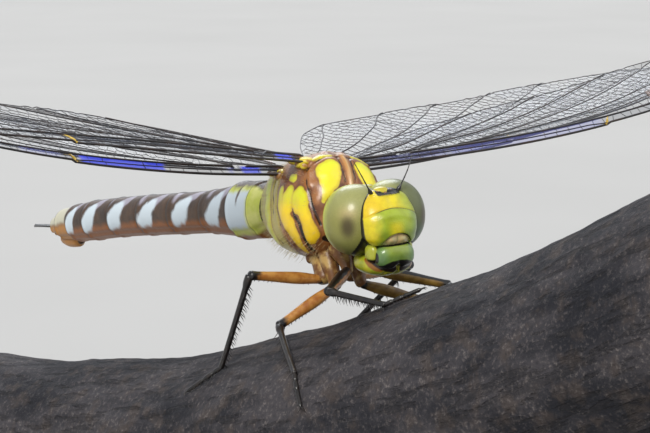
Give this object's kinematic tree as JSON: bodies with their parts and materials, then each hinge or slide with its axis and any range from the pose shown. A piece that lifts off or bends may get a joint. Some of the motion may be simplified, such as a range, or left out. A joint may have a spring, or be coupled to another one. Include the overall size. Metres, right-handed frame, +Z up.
{
  "type": "dragonfly",
  "caption": "Life-size southern hawker dragonfly with spread wings and long drooping abdomen, gripping a cut length of branch on a flat display stand.",
  "frame": {"origin": "centre of the underside of the stand's base", "axes": "-Y is the way the dragonfly heads, +X its left, +Z up"},
  "size_m": [0.0993, 0.117, 0.0694],
  "materials": {
    "eye": "glossy facetted shell, olive green-grey with a dark smudge and a yellow-green rear rim",
    "face": "satin shell, yellow to lime green",
    "labrum": "satin shell, green with a black lower edge",
    "skull": "satin shell, black and yellow",
    "thorax": "semi-gloss red-brown shell with yellow stripes and fine hair",
    "abdomen": "semi-gloss brown shell with pale lilac and yellow-green spots",
    "femur": "semi-gloss rust-orange shell with black ends",
    "dark": "semi-gloss black shell with fine spines",
    "wing": "clear pleated membrane with dark brown veins",
    "bark": "rough dark purple-grey bark with cut ends",
    "base": "dark satin-lacquered wood",
    "rod": "brushed"
  },
  "bodies": {
    "root": {"head": "skull", "clypeus": "face", "frons": "face", "labrum": "labrum", "mandible_left": "face", "mandible_right": "face", "labium": "face", "antenna_left": "dark", "antenna_right": "dark", "eye_left": "eye", "eye_right": "eye", "thorax": "thorax", "prothorax": "thorax", "neck": "thorax", "forewing_left": "wing", "hindwing_left": "wing", "forewing_right": "wing", "hindwing_right": "wing", "forecoxa_left": "thorax", "forefemur_left": "femur", "foretibia_left": "dark", "foretarsus_left": "dark", "forecoxa_right": "thorax", "forefemur_right": "femur", "foretibia_right": "dark", "foretarsus_right": "dark", "midcoxa_left": "thorax", "midfemur_left": "femur", "midtibia_left": "dark", "midtarsus_left": "dark", "midcoxa_right": "thorax", "midfemur_right": "femur", "midtibia_right": "dark", "midtarsus_right": "dark", "hindcoxa_left": "thorax", "hindfemur_left": "femur", "hindtibia_left": "dark", "hindtarsus_left": "dark", "hindcoxa_right": "thorax", "hindfemur_right": "femur", "hindtibia_right": "dark", "hindtarsus_right": "dark", "abdomen_1": "abdomen", "abdomen_2": "abdomen", "abdomen_3": "abdomen", "abdomen_4": "abdomen", "abdomen_5": "abdomen", "abdomen_6": "abdomen", "abdomen_7": "abdomen", "abdomen_8": "abdomen", "abdomen_9": "abdomen", "abdomen_10": "abdomen", "ovipositor": "abdomen", "cercus_left": "dark", "cercus_right": "dark", "perch_branch": "bark", "stand_base": "base", "stand_rod_rear": "rod", "stand_rod_front": "rod"}
  },
  "joints": []
}
